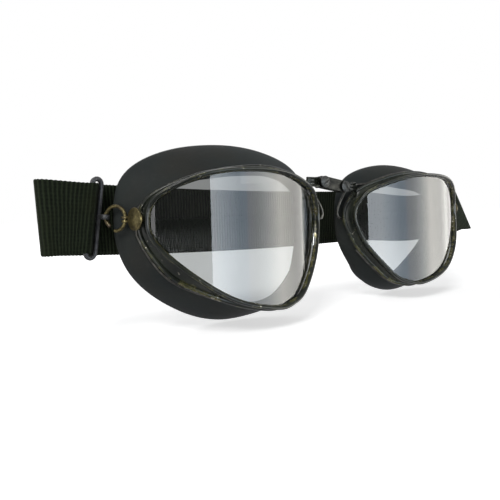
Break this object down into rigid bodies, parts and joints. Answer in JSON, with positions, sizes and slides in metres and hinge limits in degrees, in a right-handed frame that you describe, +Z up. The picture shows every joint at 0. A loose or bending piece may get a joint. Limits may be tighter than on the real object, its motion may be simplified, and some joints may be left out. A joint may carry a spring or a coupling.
{
  "type": "flying goggles",
  "caption": "Flying goggles: curved clear lenses in metal frames, hollow rubber face cushions, a jointed bridge, and a folded elastic strap on split rings.",
  "frame": {"origin": "centre of the front face of the bridge's front link plate, in the plane between the two lenses", "axes": "+Z up, +X to the wearer's left, +Y from the lenses towards the face; the wearer looks along -Y"},
  "size_m": [0.2687, 0.0371, 0.0741],
  "materials": {
    "lens": "clear, polished",
    "frame_paint": "worn dark olive paint over pressed sheet",
    "cushion_rubber": "dull moulded rubber",
    "wire_steel": "dulled drawn wire",
    "bridge_steel": "darkened steel",
    "brass": "aged, dull",
    "webbing": "ribbed elastic webbing"
  },
  "bodies": {
    "bridge": {"link_front": "bridge_steel", "link_rear": "bridge_steel", "screw_right": "bridge_steel", "screw_left": "bridge_steel", "nut_right": "bridge_steel", "nut_left": "bridge_steel", "strap": "webbing"},
    "cup_right": {"lens_right": "lens", "rim_right": "frame_paint", "frame_right": "frame_paint", "cushion_right": "cushion_rubber", "clamp_wire_right": "wire_steel", "lug_right": "frame_paint", "clip_right": "brass", "rivet_right": "brass"},
    "cup_left": {"lens_left": "lens", "rim_left": "frame_paint", "frame_left": "frame_paint", "cushion_left": "cushion_rubber", "clamp_wire_left": "wire_steel", "lug_left": "frame_paint", "clip_left": "brass", "rivet_left": "brass"},
    "ring_body_right": {"ring_right": "brass"},
    "ring_body_left": {"ring_left": "brass"},
    "buckle_right": {"strap_frame_right": "wire_steel"},
    "buckle_left": {"strap_frame_left": "wire_steel"}
  },
  "joints": [
    {"name": "bridge_pivot_right", "type": "hinge", "parent": "bridge", "child": "cup_right", "pos_m": [-0.0066, 0.0019, 0.00105], "axis": [0, 1, 0], "range_deg": [-12, 12], "deforming": ["strap"]},
    {"name": "bridge_pivot_left", "type": "hinge", "parent": "bridge", "child": "cup_left", "pos_m": [0.0066, 0.0019, -0.00105], "axis": [0, 1, 0], "range_deg": [-12, 12], "deforming": ["strap"]},
    {"name": "ring_swing_right", "type": "hinge", "parent": "cup_right", "child": "ring_body_right", "pos_m": [-0.09786, 0.00744, -0.0126], "axis": [0, 0, 1], "range_deg": [-4, 35], "deforming": ["strap"]},
    {"name": "ring_swing_left", "type": "hinge", "parent": "cup_left", "child": "ring_body_left", "pos_m": [0.09786, 0.00744, -0.0126], "axis": [0, 0, -1], "range_deg": [-4, 35], "deforming": ["strap"]},
    {"name": "buckle_swing_right", "type": "hinge", "parent": "ring_body_right", "child": "buckle_right", "pos_m": [-0.10245, 0.01507, -0.012], "axis": [0, 0, 1], "range_deg": [-20, 20], "deforming": ["strap"]},
    {"name": "buckle_swing_left", "type": "hinge", "parent": "ring_body_left", "child": "buckle_left", "pos_m": [0.10245, 0.01507, -0.012], "axis": [0, 0, -1], "range_deg": [-20, 20], "deforming": ["strap"]}
  ]
}
